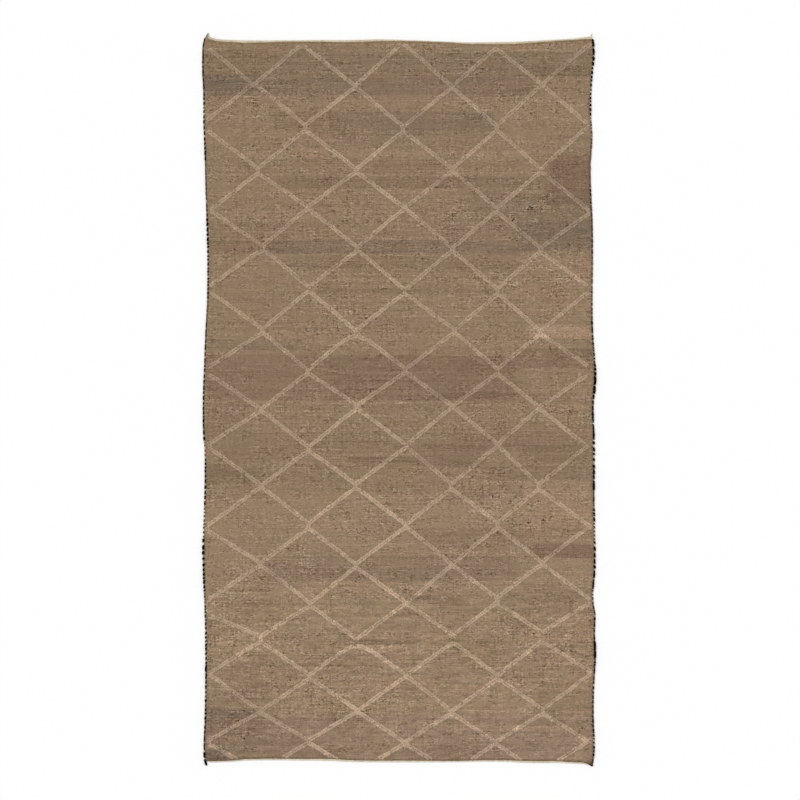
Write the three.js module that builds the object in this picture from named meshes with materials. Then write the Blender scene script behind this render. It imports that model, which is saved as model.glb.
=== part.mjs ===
// A flat-woven wool rug, about 1.6 m wide and 3 m long, lying flat on the floor.
// Its pieces are the woven field, a dark overcast selvedge along each long edge, a narrow cream band of bound
// warp ends across each short end, and the loose yarns left at three of the corners.
// Millimetres, +Z up, with the length of the rug along Y. The origin is at the middle of the underside.

import * as THREE from "three";

// Driving dimensions. Widths and lengths are measured from the rug's middle lines.
const HALF_WIDTH = 808; // to the outside of a selvedge
const HALF_LENGTH = 1490; // to the end of the woven field
const FIELD_THICKNESS = 4;
const SELVEDGE_WIDTH = 6;
const SELVEDGE_THICKNESS = 6;
const SELVEDGE_ROUNDING = 1.8;
const BAND_THICKNESS = 4.4;
const BAND_ROUNDING = 0.9;
const YARN_ROUNDING = 0.7;
const GAP = 0.3; // between neighbouring pieces
const LONG_STEP = 40; // between the points of a long edge
const SHORT_STEP = 16; // between the points of a short end

// Hand weaving leaves no edge straight. y is the place along the rug, and out is how far the edge stands
// outside HALF_WIDTH there.
const LEFT_EDGE = [
  { y: -1498, out: -1 },
  { y: -1448, out: 3 },
  { y: -1324, out: -2 },
  { y: -950, out: -4 },
  { y: -826, out: 0 },
  { y: -701, out: 5 },
  { y: -577, out: 6 },
  { y: -452, out: 1 },
  { y: -328, out: -2 },
  { y: -203, out: -1 },
  { y: -141, out: 4 },
  { y: -17, out: 6 },
  { y: 170, out: 0 },
  { y: 295, out: -5 },
  { y: 419, out: -12 },
  { y: 668, out: -12 },
  { y: 855, out: -6 },
  { y: 1042, out: -1 },
  { y: 1166, out: 4 },
  { y: 1291, out: 4 },
  { y: 1353, out: 8 },
  { y: 1423, out: 8 },
  { y: 1473, out: 7 },
  { y: 1506, out: 0 },
];
const RIGHT_EDGE = [
  { y: -1516, out: -3 },
  { y: -1498, out: 0 },
  { y: -1448, out: 5 },
  { y: -1324, out: 1 },
  { y: -1199, out: 2 },
  { y: -1075, out: 9 },
  { y: -950, out: 6 },
  { y: -888, out: 9 },
  { y: -826, out: -1 },
  { y: -701, out: 7 },
  { y: -390, out: 4 },
  { y: -141, out: 4 },
  { y: -17, out: 0 },
  { y: 46, out: 6 },
  { y: 108, out: 10 },
  { y: 170, out: 7 },
  { y: 295, out: -2 },
  { y: 730, out: -3 },
  { y: 855, out: -9 },
  { y: 979, out: -12 },
  { y: 1104, out: -4 },
  { y: 1166, out: -9 },
  { y: 1291, out: -8 },
  { y: 1353, out: -4 },
  { y: 1440, out: 4 },
  { y: 1498, out: 0 },
];

// The ends of the field: x is the place across the rug, out is how far the cloth runs past HALF_LENGTH there,
// and band is the width of the cream band beside it.
const TOP_EDGE = [
  { x: -802, out: 16, band: 4 },
  { x: -784, out: 12, band: 8 },
  { x: -759, out: 4, band: 8 },
  { x: -701, out: 0, band: 8 },
  { x: -639, out: -3, band: 9 },
  { x: -452, out: 1, band: 5 },
  { x: -328, out: 1, band: 6 },
  { x: -203, out: -1, band: 8 },
  { x: -79, out: 3, band: 7 },
  { x: 46, out: 3, band: 3.5 },
  { x: 170, out: -1, band: 3 },
  { x: 232, out: -4, band: 3.5 },
  { x: 295, out: -9, band: 6 },
  { x: 357, out: -9, band: 7 },
  { x: 481, out: -8, band: 8 },
  { x: 606, out: 0, band: 6 },
  { x: 730, out: 9, band: 5 },
  { x: 776, out: 12, band: 8 },
  { x: 796, out: 12, band: 11 },
];
const BOTTOM_EDGE = [
  { x: -801, out: 5, band: 4 },
  { x: -701, out: 2, band: 4 },
  { x: -639, out: -4, band: 5 },
  { x: -390, out: -5, band: 6 },
  { x: -266, out: -4, band: 7 },
  { x: -203, out: 0, band: 6 },
  { x: 46, out: 2, band: 6 },
  { x: 232, out: 3, band: 4 },
  { x: 419, out: 0, band: 5 },
  { x: 544, out: 4, band: 7 },
  { x: 668, out: 5, band: 6 },
  { x: 730, out: 9, band: 5 },
  { x: 770, out: 11, band: 5 },
  { x: 784, out: 16, band: 4 },
  { x: 799, out: 27, band: 3 },
];
const BOTTOM_BAND_STOP = 790; // the pulled-down corner beyond this is bare

// The loose yarns at the corners. Each runs from its root to its tip with a slight bend, thinning on the way.
const YARN_THICKNESS = 3;
const THREAD_TOP_RIGHT = {
  root: [795, 1514.5],
  bend: [800, 1519],
  tip: [803, 1527],
  rootWidth: 3,
  tipWidth: 2,
};
const YARN_BOTTOM_LEFT = {
  root: [-804.5, -1496.5],
  bend: [-802, -1504],
  tip: [-797, -1512],
  rootWidth: 6,
  tipWidth: 5,
};
// The tuft's tip, then how high its outer flank bulges and its inner flank stands straight and bends inwards.
const TUFT = { tipLeft: -793, tipRight: -790, tipY: 1530, bulge: 12, straight: 5, hollow: 9 };

const wool = (name, color) => new THREE.MeshStandardMaterial({ name, color, roughness: 0.95, metalness: 0 });
const groundWool = wool("ground_wool", "#8c785f");
const darkWool = wool("dark_wool", "#2b1e15");
const creamWarp = wool("cream_warp", "#dccdb2");

const rug = new THREE.Group();
rug.name = "rug";

// Reads one column of a table between its rows, on a smooth curve.
function readBetween(rows, along, column) {
  const places = rows.map((row) => row[along]);
  const values = rows.map((row) => row[column]);
  const curve = new THREE.CubicInterpolant(places, values, 1);
  return (at) => curve.evaluate(at)[0];
}

const leftOut = readBetween(LEFT_EDGE, "y", "out");
const rightOut = readBetween(RIGHT_EDGE, "y", "out");
const topOut = readBetween(TOP_EDGE, "x", "out");
const bottomOut = readBetween(BOTTOM_EDGE, "x", "out");
const topBand = readBetween(TOP_EDGE, "x", "band");
const bottomBand = readBetween(BOTTOM_EDGE, "x", "band");

const leftLimit = (y) => -HALF_WIDTH - leftOut(y);
const rightLimit = (y) => HALF_WIDTH + rightOut(y);
const topEnd = (x) => HALF_LENGTH + topOut(x);
const bottomEnd = (x) => -HALF_LENGTH - bottomOut(x);
const leftSide = (y) => leftLimit(y) + SELVEDGE_WIDTH + GAP;
const rightSide = (y) => rightLimit(y) - SELVEDGE_WIDTH - GAP;

function stations(from, to, step) {
  const count = Math.ceil(Math.abs(to - from) / step);
  return Array.from({ length: count + 1 }, (_, i) => THREE.MathUtils.lerp(from, to, i / count));
}

// The corner where a side of the field meets an end of it.
function corner(side, end) {
  let y = end(side(0));
  for (let pass = 0; pass < 4; pass++) {
    y = end(side(y));
  }
  return new THREE.Vector2(side(y), y);
}

// A piece cut to an outline, lying on the floor, with its long edges rounded over by the given amount.
function lay(name, outline, thickness, rounding, material) {
  const geometry = new THREE.ExtrudeGeometry(new THREE.Shape(outline), {
    depth: thickness - 2 * rounding,
    bevelEnabled: rounding > 0,
    bevelThickness: rounding,
    bevelSize: rounding,
    bevelOffset: -rounding,
    bevelSegments: rounding > 1 ? 2 : 1,
  });
  const mesh = new THREE.Mesh(geometry, material);
  mesh.name = name;
  mesh.position.z = rounding;
  rug.add(mesh);
}

const topLeft = corner(leftSide, topEnd);
const topRight = corner(rightSide, topEnd);
const bottomLeft = corner(leftSide, bottomEnd);
const bottomRight = corner(rightSide, bottomEnd);
const topPlaces = stations(topLeft.x, topRight.x, SHORT_STEP);
const bottomPlaces = stations(bottomLeft.x, bottomRight.x, SHORT_STEP);

// The woven field is one cloth with the lattice woven into it.
function layField() {
  const outline = [
    ...bottomPlaces.map((x) => new THREE.Vector2(x, bottomEnd(x))),
    ...stations(bottomRight.y, topRight.y, LONG_STEP).map((y) => new THREE.Vector2(rightSide(y), y)),
    ...topPlaces.map((x) => new THREE.Vector2(x, topEnd(x))).reverse(),
    ...stations(topLeft.y, bottomLeft.y, LONG_STEP).map((y) => new THREE.Vector2(leftSide(y), y)),
  ];
  // Each side starts on the corner that the last one ended on.
  const points = outline.filter((point, i) => i === 0 || point.distanceTo(outline[i - 1]) > 0.01);
  points.pop();
  lay("field", points, FIELD_THICKNESS, 0, groundWool);
}

// A selvedge is a cord of dark overcasting beside the cloth, as long as the cloth is there.
function laySelvedge(name, inner, outer, from, to) {
  const places = stations(from, to, LONG_STEP);
  const out = places.map((y) => new THREE.Vector2(outer(y), y));
  const back = places.map((y) => new THREE.Vector2(inner(y), y)).reverse();
  lay(name, [...out, ...back], SELVEDGE_THICKNESS, SELVEDGE_ROUNDING, darkWool);
}

// An end band lies along the end of the cloth; outwards is 1 at the top end and -1 at the bottom.
function layBand(name, places, end, width, outwards) {
  const near = places.map((x) => new THREE.Vector2(x, end(x) + outwards * GAP));
  const far = places.map((x) => new THREE.Vector2(x, end(x) + outwards * (GAP + width(x)))).reverse();
  lay(name, [...near, ...far], BAND_THICKNESS, BAND_ROUNDING, creamWarp);
}

function layYarn(name, { root, bend, tip, rootWidth, tipWidth }, material) {
  const [start, pull, stop] = [root, bend, tip].map((point) => new THREE.Vector2(...point));
  const path = new THREE.QuadraticBezierCurve(start, pull, stop);
  const places = [0, 0.2, 0.4, 0.6, 0.8, 1];
  const sides = [1, -1].map((side) =>
    places.map((t) => {
      const along = path.getTangent(t);
      const half = THREE.MathUtils.lerp(rootWidth, tipWidth, t) / 2;
      return path.getPoint(t).add(new THREE.Vector2(-along.y, along.x).multiplyScalar(side * half));
    }),
  );
  lay(name, [...sides[0], ...sides[1].reverse()], YARN_THICKNESS, YARN_ROUNDING, material);
}

// The last warp ends at the top left stand together in a small pointed tuft, hollowed on its inner side.
function layTuft() {
  const [first, second] = topPlaces.map((x) => new THREE.Vector2(x, topEnd(x) + GAP));
  const rootLeft = first.clone().lerp(second, GAP / SHORT_STEP);
  const rootRight = second.clone().lerp(first, GAP / SHORT_STEP);
  const shape = new THREE.Path();
  shape.moveTo(rootLeft.x, rootLeft.y);
  shape.lineTo(rootRight.x, rootRight.y);
  shape.lineTo(rootRight.x, rootRight.y + TUFT.straight);
  shape.quadraticCurveTo(TUFT.tipRight, rootRight.y + TUFT.hollow, TUFT.tipRight, TUFT.tipY);
  shape.lineTo(TUFT.tipLeft, TUFT.tipY);
  shape.quadraticCurveTo(rootLeft.x, rootLeft.y + TUFT.bulge, rootLeft.x, rootLeft.y);
  const points = shape.getPoints(6);
  points.pop();
  lay("tuft_top_left", points, YARN_THICKNESS, YARN_ROUNDING, creamWarp);
}

layField();
laySelvedge("selvedge_left", (y) => leftSide(y) - GAP, leftLimit, bottomLeft.y, topLeft.y);
laySelvedge("selvedge_right", (y) => rightSide(y) + GAP, rightLimit, bottomRight.y, topRight.y);
const underBottom = bottomPlaces.slice(1).filter((x) => x < BOTTOM_BAND_STOP);
layBand("end_band_top", topPlaces.slice(1), topEnd, topBand, 1);
layBand("end_band_bottom", underBottom, bottomEnd, bottomBand, -1);
layTuft();
layYarn("thread_top_right", THREAD_TOP_RIGHT, creamWarp);
layYarn("yarn_end_bottom_left", YARN_BOTTOM_LEFT, darkWool);

// The origin goes to the middle of the underside.
const middle = new THREE.Box3().setFromObject(rug).getCenter(new THREE.Vector3());
rug.position.set(-middle.x, -middle.y, 0);

export default rug;
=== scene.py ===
import math

import bpy
import numpy as np
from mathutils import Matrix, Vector


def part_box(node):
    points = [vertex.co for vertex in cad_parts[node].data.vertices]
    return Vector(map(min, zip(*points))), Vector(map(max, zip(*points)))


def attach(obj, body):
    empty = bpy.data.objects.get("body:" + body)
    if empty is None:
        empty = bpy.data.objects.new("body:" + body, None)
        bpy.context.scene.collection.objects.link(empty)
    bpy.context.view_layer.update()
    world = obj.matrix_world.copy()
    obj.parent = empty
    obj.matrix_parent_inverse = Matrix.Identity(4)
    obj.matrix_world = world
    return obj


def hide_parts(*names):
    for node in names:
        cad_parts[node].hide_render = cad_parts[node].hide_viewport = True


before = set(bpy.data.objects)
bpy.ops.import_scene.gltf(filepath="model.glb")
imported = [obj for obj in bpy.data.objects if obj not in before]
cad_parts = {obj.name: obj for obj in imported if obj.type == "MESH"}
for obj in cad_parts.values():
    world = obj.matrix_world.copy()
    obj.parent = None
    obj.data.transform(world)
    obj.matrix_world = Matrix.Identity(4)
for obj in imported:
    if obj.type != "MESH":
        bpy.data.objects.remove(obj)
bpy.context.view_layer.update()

# The camera and the studio
# The finished rug lies on a plain pale floor and is seen from straight above, square to its length. The
# light is soft: a white room all round it, and a wide lamp from the upper left that lets the stitches show.
MM = 0.001
PICTURE_WIDTH = 3320 * MM  # what the picture takes in, 4.15 mm to each of its 800 pixels
PICTURE_CENTRE = (4.0 * MM, -2.6 * MM)
LENS = 85
SENSOR = 36
ROOM_LIGHT = 0.8
LAMP_LIGHT = 0.9
LAMP_DIRECTION = Vector((1, -1, -1.3))
LAMP_SPREAD = math.radians(20)
FLOOR_SIZE = 60
FLOOR_DROP = 0.3 * MM


def linear(code):
    """An sRGB hex colour as linear red, green and blue."""
    parts = np.array([int(code[place : place + 2], 16) for place in (0, 2, 4)]) / 255
    return np.where(parts <= 0.04045, parts / 12.92, ((parts + 0.055) / 1.055) ** 2.4)


bpy.ops.object.select_all(action="DESELECT")
bpy.ops.object.camera_add(location=(*PICTURE_CENTRE, PICTURE_WIDTH * LENS / SENSOR), rotation=(0, 0, 0))
camera = bpy.context.object
camera.data.lens = LENS
camera.data.sensor_width = SENSOR
bpy.context.scene.camera = camera
bpy.context.scene.view_settings.view_transform = "Standard"

room = bpy.data.worlds.new("white_room")
room.use_nodes = True
room.node_tree.nodes["Background"].inputs["Strength"].default_value = ROOM_LIGHT
room.node_tree.nodes["Background"].inputs["Color"].default_value = (1, 1, 1, 1)
bpy.context.scene.world = room

bpy.ops.object.light_add(type="SUN", rotation=LAMP_DIRECTION.to_track_quat("-Z", "Y").to_euler())
lamp = bpy.context.object
lamp.data.energy = LAMP_LIGHT
lamp.data.angle = LAMP_SPREAD

# Matt white studio paper: even, with no shine.
paper = bpy.data.materials.new("studio_paper")
paper.use_nodes = True
paper.node_tree.nodes["Principled BSDF"].inputs["Base Color"].default_value = (*linear("FFFFFF"), 1)
paper.node_tree.nodes["Principled BSDF"].inputs["Roughness"].default_value = 1
paper.node_tree.nodes["Principled BSDF"].inputs["Specular IOR Level"].default_value = 0
bpy.ops.mesh.primitive_plane_add(size=FLOOR_SIZE, location=(0, 0, -FLOOR_DROP))
floor = bpy.context.object
floor.name = "floor"
floor.data.materials.append(paper)

# The woven field
# One weft-faced cloth of hand-spun wool, beaten down so hard that no warp shows. It was dyed and spun in
# small batches, so each stretch of weft has its own shade, and the edges wander as the hand pulled them.
COLUMNS = 148
ROWS = 600
END_ROWS = 12  # the last rows of the mesh at each end, which keep the curve of the end underneath too
RIM = 1.2 * MM  # the softened edge of the cloth
SETTLING = 8  # how often a place across and a place along are worked out from each other
# Here and below, what the hand left uneven is given as how much it varies each way, and how far one such
# patch reaches across the rug and along it.
WIDE = 9  # metres: a patch this wide hardly changes across the rug
PATCHES = 64  # the patches repeat after this many
RIPPLE = (0.5 * MM, 120 * MM, 70 * MM)
# The rug was kept folded in three along its length. Each fold left a soft trough from end to end, deeper
# over one stretch: how far across it lies, how deep it is, and the top, the bottom and the depth of that
# stretch. Millimetres.
CREASES = [(-278, 0.6, -300, -900, 1.1), (271, 0.45, -560, -1000, 0.7)]
CREASE_WIDTH = 7 * MM
CREASE_FADE = 60 * MM  # how softly the deeper stretch starts and stops
CREASE_WANDER = (4 * MM, WIDE, 350 * MM)
CREASE_DEPTH = (0.5, WIDE, 90 * MM)
# Along a fold the wool is painted darker: painted shade in the trough, and dirt.
CREASE_SHADE_AND_DIRT = 0.065  # how much darker the wool is along a fold, for each millimetre of depth
DYES = {
    "base": "917A62",
    "slate": "786656",
    "dusk": "7D6953",
    "plum": "7E6754",
    "ash": "7C6A55",
    "umber": "715E4A",
    "rose": "9C8068",
    "mauve": "957C69",
    "pale": "A68B72",
}
# The batches of wool in the order they were laid over the base shade: the dye, the stretch across the rug,
# the stretch along it, and how much of the dye took. Millimetres, from the middle of the rug.
BATCHES = [
    ("rose", 380, 620, 1478, 1445, 0.7),
    ("dusk", -820, -550, 1450, 1340, 0.6),
    ("ash", -550, 820, 1442, 1340, 0.55),
    ("dusk", 540, 820, 1388, 1340, 0.5),
    ("slate", -820, -590, 1345, 1258, 1.0),
    ("slate", -590, 570, 1338, 1262, 0.55),
    ("dusk", -520, -240, 1195, 1115, 0.5),
    ("slate", -260, 400, 1192, 1115, 0.55),
    ("dusk", 230, 400, 1160, 1115, 0.2),
    ("slate", -280, 360, 1115, 1050, 0.2),
    ("rose", -460, -290, 1045, 1008, 0.6),
    ("pale", -290, 520, 1035, 1008, 0.25),
    ("dusk", -820, 620, 1000, 962, 0.2),
    ("pale", 220, 420, 950, 932, 0.25),
    ("plum", 620, 820, 1010, 800, 0.95),
    ("dusk", -520, 620, 925, 875, 0.5),
    ("ash", 300, 820, 860, 735, 0.5),
    ("ash", -820, -200, 740, 665, 0.2),
    ("slate", 200, 520, 738, 665, 0.25),
    ("slate", 500, 820, 738, 620, 0.85),
    ("dusk", -820, -560, 660, 607, 0.6),
    ("slate", -560, 500, 660, 604, 0.6),
    ("dusk", 480, 820, 668, 622, 0.35),
    ("dusk", -480, 500, 592, 540, 0.35),
    ("umber", -380, 500, 552, 537, 0.3),
    ("rose", 480, 820, 590, 340, 0.45),
    ("umber", -360, 400, 455, 441, 0.35),
    ("pale", 540, 820, 308, 255, 0.85),
    ("ash", -820, -400, 250, 205, 0.4),
    ("dusk", 470, 820, 213, 132, 0.6),
    ("plum", 590, 710, 190, 135, 0.45),
    ("plum", -820, -300, 185, 0, 0.5),
    ("plum", -300, 500, 182, -5, 0.7),
    ("umber", -820, -730, 52, 36, 0.55),
    ("umber", 150, 420, 32, 6, 0.55),
    ("ash", -820, -620, -10, -140, 0.3),
    ("rose", 560, 780, -15, -95, 0.3),
    ("dusk", -820, 820, -135, -205, 0.35),
    ("ash", -740, -480, -200, -265, 0.35),
    ("umber", -220, 70, -240, -264, 0.65),
    ("plum", 60, 360, -185, -280, 0.5),
    ("umber", 200, 350, -250, -272, 0.6),
    ("dusk", 510, 820, -185, -262, 0.6),
    ("dusk", -820, -570, -270, -348, 0.65),
    ("dusk", -570, -250, -270, -345, 0.2),
    ("ash", 350, 820, -275, -337, 0.45),
    ("pale", -820, 820, -395, -1320, 0.22),
    ("rose", 500, 820, -340, -560, 0.65),
    ("rose", -370, -180, -465, -545, 0.5),
    ("plum", 60, 560, -533, -625, 0.3),
    ("plum", 560, 820, -598, -660, 0.8),
    ("slate", -560, 500, -650, -752, 0.4),
    ("pale", -500, 150, -760, -870, 0.15),
    ("ash", 430, 790, -790, -892, 0.25),
    ("umber", 30, 160, -815, -836, 0.75),
    ("umber", 130, 270, -826, -850, 0.5),
    ("rose", -230, 30, -885, -1000, 0.25),
    ("pale", -820, -450, -965, -1062, 0.25),
    ("umber", -185, 85, -995, -1015, 0.5),
    ("pale", -185, 80, -1018, -1048, 0.8),
    ("umber", 400, 560, -1143, -1160, 0.55),
    ("rose", 600, 820, -900, -1190, 0.5),
    ("pale", -250, 560, -1140, -1330, 0.2),
    ("umber", -620, -480, -1178, -1202, 0.3),
    ("ash", -820, -590, -1200, -1262, 0.35),
    ("dusk", 560, 820, -1210, -1290, 0.35),
    ("mauve", -820, 820, -1300, -1520, 0.6),
    ("slate", -820, -575, -1280, -1320, 0.95),
    ("plum", -820, -560, -1325, -1390, 0.75),
    ("dusk", -770, -380, -1385, -1465, 0.3),
    ("slate", -820, -715, -1448, -1505, 1.1),
    ("dusk", -700, -200, -1450, -1500, 0.4),
    ("plum", 140, 400, -1450, -1485, 0.3),
    ("umber", -820, -670, -1487, -1520, 0.3),
    ("umber", 650, 800, 1092, 1072, 0.45),
    ("umber", 180, 330, -398, -416, 0.4),
    ("umber", 590, 820, -535, -551, 0.5),
    ("pale", -180, 820, -1350, -1376, 0.4),
]
BATCH_END = 28 * MM  # how softly a batch gives out across the rug
BATCH_EDGE = 3 * MM  # how sharply it starts and stops along it
BATCH_FRAY = (22 * MM, 400 * MM, 9 * MM)  # how ragged its ends are from row to row
BATCH_BOW = (3 * MM, 220 * MM, 500 * MM)  # how far its rows bow
BATCH_TAKE = 0.9  # how much of its dye took in most rows, and below, how much that differs
TAKE_DIFFERS = (0.35, 160 * MM, 7 * MM)
# The yarn changes shade every few rows, for half the width of the rug or less. The yarn used at the bottom
# is more marled: its rows differ more, and so do short lengths of each.
ROW_SHADE = (0.045, 500 * MM, 8 * MM)
BAND_SHADE = (0.03, 180 * MM, 30 * MM)
MARL_SHADE = (0.15, 30 * MM, 9 * MM)
MARL_ROWS = 0.5
MARL_START = -750 * MM
MARL_FADE = 150 * MM
# Small patches lean to red or to green, as the fleece did, and others to blue or to yellow.
RED_PATCH = (1, 130 * MM, 45 * MM)
RED_LEAN = (0.016, -0.01, 0)
BLUE_PATCH = (1, 170 * MM, 50 * MM)
BLUE_LEAN = (0, 0, 0.018)
# The last rows at the top end are darker: a painted shadow of the band that laps over them. The last rows at
# the bottom end and the corner at the bottom right are darker too. For each: how far in that reaches, how
# softly it fades, its colour, and how strongly it covers.
EDGE_SHADOW_AND_DARKENING = [(9 * MM, 3 * MM, "7A6845", 0.5), (8 * MM, 3 * MM, "6E5D45", 0.6), (20 * MM, 20 * MM, "3A2A18", 1)]


def cad_points(node):
    """The corner points of a CAD piece, in metres."""
    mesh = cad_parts[node].data
    points = np.empty(len(mesh.vertices) * 3, np.float32)
    mesh.vertices.foreach_get("co", points)
    return points.reshape(-1, 3).astype(float)


def side_of(points, along):
    """A side of the cloth as its places along an axis, in order, and how far out it stands at each."""
    order = points[:, along].argsort()
    return points[order, along], points[order, 1 - along]


def uneven(x, y, kind, seed):
    """How far each place is off by that kind of unevenness, more or less, in soft patches."""
    amount, across, along = kind
    table = np.random.default_rng(seed).uniform(-1, 1, (PATCHES, PATCHES))
    column, right = np.divmod(x / across, 1)
    row, up = np.divmod(y / along, 1)
    column = column.astype(int) % PATCHES
    row = row.astype(int) % PATCHES
    next_column = (column + 1) % PATCHES
    next_row = (row + 1) % PATCHES
    right = right * right * (3 - 2 * right)
    up = up * up * (3 - 2 * up)
    near = table[column, row] * (1 - right) + table[next_column, row] * right
    far = table[column, next_row] * (1 - right) + table[next_column, next_row] * right
    return amount * (near * (1 - up) + far * up)


def ramp(distance, softness):
    """0 well below no distance and 1 well above it, with a smooth rise between."""
    rise = np.clip(distance / (2 * softness) + 0.5, 0, 1)
    return rise * rise * (3 - 2 * rise)


outline = np.unique(np.round(cad_points("field")[:, :2], 5), axis=0)
bearing = np.arctan2(outline[:, 1], outline[:, 0])
south_west, south_east, north_east, north_west = (
    bearing[np.argmax(outline @ diagonal)] for diagonal in ((-1, -1), (1, -1), (1, 1), (-1, 1))
)
bottom_end = side_of(outline[(bearing >= south_west) & (bearing <= south_east)], 0)
right_side = side_of(outline[(bearing >= south_east) & (bearing <= north_east)], 1)
top_end = side_of(outline[(bearing >= north_east) & (bearing <= north_west)], 0)
left_side = side_of(outline[(bearing >= north_west) | (bearing <= south_west)], 1)
pulled_corner = outline[np.argmax(outline @ (1, -1))]
cloth_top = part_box("field")[1].z


def on_cloth(across, along, inset):
    """The place that is that share of the way across and along the cloth, inside its wandering edges."""
    x = np.zeros_like(across)
    for _ in range(SETTLING):
        low = np.interp(x, *bottom_end) + inset
        high = np.interp(x, *top_end) - inset
        y = low + along * (high - low)
        left = np.interp(y, *left_side) + inset
        right = np.interp(y, *right_side) - inset
        x = left + across * (right - left)
    return x, y


def fold_depth(x, y):
    """How deep the folds are at each place, in millimetres."""
    depth = np.zeros_like(x)
    for seed, (place, shallow, top, bottom, deep) in enumerate(CREASES):
        off = x - place * MM - uneven(x, y, CREASE_WANDER, seed)
        stretch = ramp(top * MM - y, CREASE_FADE) * ramp(y - bottom * MM, CREASE_FADE)
        reach = (shallow + (deep - shallow) * stretch) * (1 + uneven(x, y, CREASE_DEPTH, seed + 2))
        depth += reach * np.exp(-((off / CREASE_WIDTH) ** 2))
    return depth


def surface(x, y):
    """The height of the top of the cloth."""
    return cloth_top + uneven(x, y, RIPPLE, 4) - fold_depth(x, y) * MM


def dye_at(x, y):
    """The linear colour of the weft at each place."""
    colour = np.broadcast_to(linear(DYES["base"]), (*x.shape, 3)).copy()
    bow = uneven(x, y, BATCH_BOW, 5)
    for order, (dye, left, right, top, bottom, strength) in enumerate(BATCHES):
        fray = uneven(x, y, BATCH_FRAY, 10 + order)
        across = ramp(x - left * MM + fray, BATCH_END) * ramp(right * MM - x + fray, BATCH_END)
        along = ramp(top * MM - y + bow, BATCH_EDGE) * ramp(y - bow - bottom * MM, BATCH_EDGE)
        take = BATCH_TAKE + uneven(x, y, TAKE_DIFFERS, 200 + order)
        cover = np.clip(strength * across * along * take, 0, 1)[..., None]
        colour += (linear(DYES[dye]) - colour) * cover
    marled = ramp(MARL_START - y, MARL_FADE)
    rows = 1 + (1 + MARL_ROWS * marled) * (uneven(x, y, ROW_SHADE, 6) + uneven(x, y, BAND_SHADE, 7))
    rows += marled * uneven(x, y, MARL_SHADE, 12)
    # Darker along the folds, by depth: painted shade and dirt.
    colour *= (rows * (1 - CREASE_SHADE_AND_DIRT * fold_depth(x, y)))[..., None]
    red = uneven(x, y, RED_PATCH, 8)[..., None]
    blue = uneven(x, y, BLUE_PATCH, 9)[..., None]
    colour *= 1 + red * RED_LEAN + blue * BLUE_LEAN
    from_top = np.interp(x, *top_end) - y
    from_bottom = y - np.interp(x, *bottom_end)
    from_corner = np.hypot(x - pulled_corner[0], y - pulled_corner[1])
    # At the top end this darkening is a painted shadow of the end band; elsewhere the cloth is just darker.
    for distance, (reach, fade, darker_colour, strength) in zip((from_top, from_bottom, from_corner), EDGE_SHADOW_AND_DARKENING):
        cover = ramp(reach - distance, fade)[..., None] * strength
        colour += (linear(darker_colour) - colour) * cover
    return colour


def add(material, kind, inputs=(), **settings):
    """Adds a node to a material with its settings, and its inputs as values or as sockets that feed them."""
    node = material.node_tree.nodes.new(kind)
    for name, value in settings.items():
        setattr(node, name, value)
    for socket, value in dict(inputs).items():
        if isinstance(value, bpy.types.NodeSocket):
            material.node_tree.links.new(value, node.inputs[socket])
        else:
            node.inputs[socket].default_value = value
    return node


SOFT_NOISE = {"From Min": 0.25, "From Max": 0.75}  # nearly all of a soft noise lies between these
SPECK_NOISE = {"From Min": 0.6, "From Max": 0.75}  # specks start at the first and are full at the second
BETWEEN_SPECKS = 0.05  # how much lighter the rest is, as a share of how dark the specks are
PALER = 0.33  # how much colour the lighter fibres lose, as a share of how much lighter they are
WOOL_SHINE = 0.05


def layered(material, layers, specks=()):
    """A shade about 1 from layers of soft noise.

    A layer has a size across, along and up in mm, and a strength. Specks are layers that only darken, here
    and there.
    """
    place = add(material, "ShaderNodeTexCoord").outputs["Object"]
    shade = 1.0
    for number, (across, along, up, strength) in enumerate((*layers, *specks)):
        grain = (1 / (across * MM), 1 / (along * MM), 1 / (up * MM))
        # Each layer starts at a place of its own in the noise, or they would all break along the same lines.
        start = (0.5 + 3.3 * across, 0.5 + 7.7 * along, 0.5 + 1.3 * across + 2.1 * along)
        moved = {"Vector": place, "Location": start, "Scale": grain}
        spot = add(material, "ShaderNodeMapping", moved).outputs["Vector"]
        soft = {"Vector": spot, "Scale": 1.0, "Detail": 1.0}
        fleck = add(material, "ShaderNodeTexNoise", soft).outputs["Fac"]
        scattered = number >= len(layers)
        if scattered:
            limits = {**SPECK_NOISE, "To Min": 1 + BETWEEN_SPECKS * strength, "To Max": 1 - strength}
        else:
            limits = {**SOFT_NOISE, "To Min": 1 - strength, "To Max": 1 + strength}
        layer = add(material, "ShaderNodeMapRange", {"Value": fleck, **limits}, clamp=scattered)
        both = {0: shade, 1: layer.outputs["Result"]}
        shade = add(material, "ShaderNodeMath", both, operation="MULTIPLY").outputs["Value"]
    return shade


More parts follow.
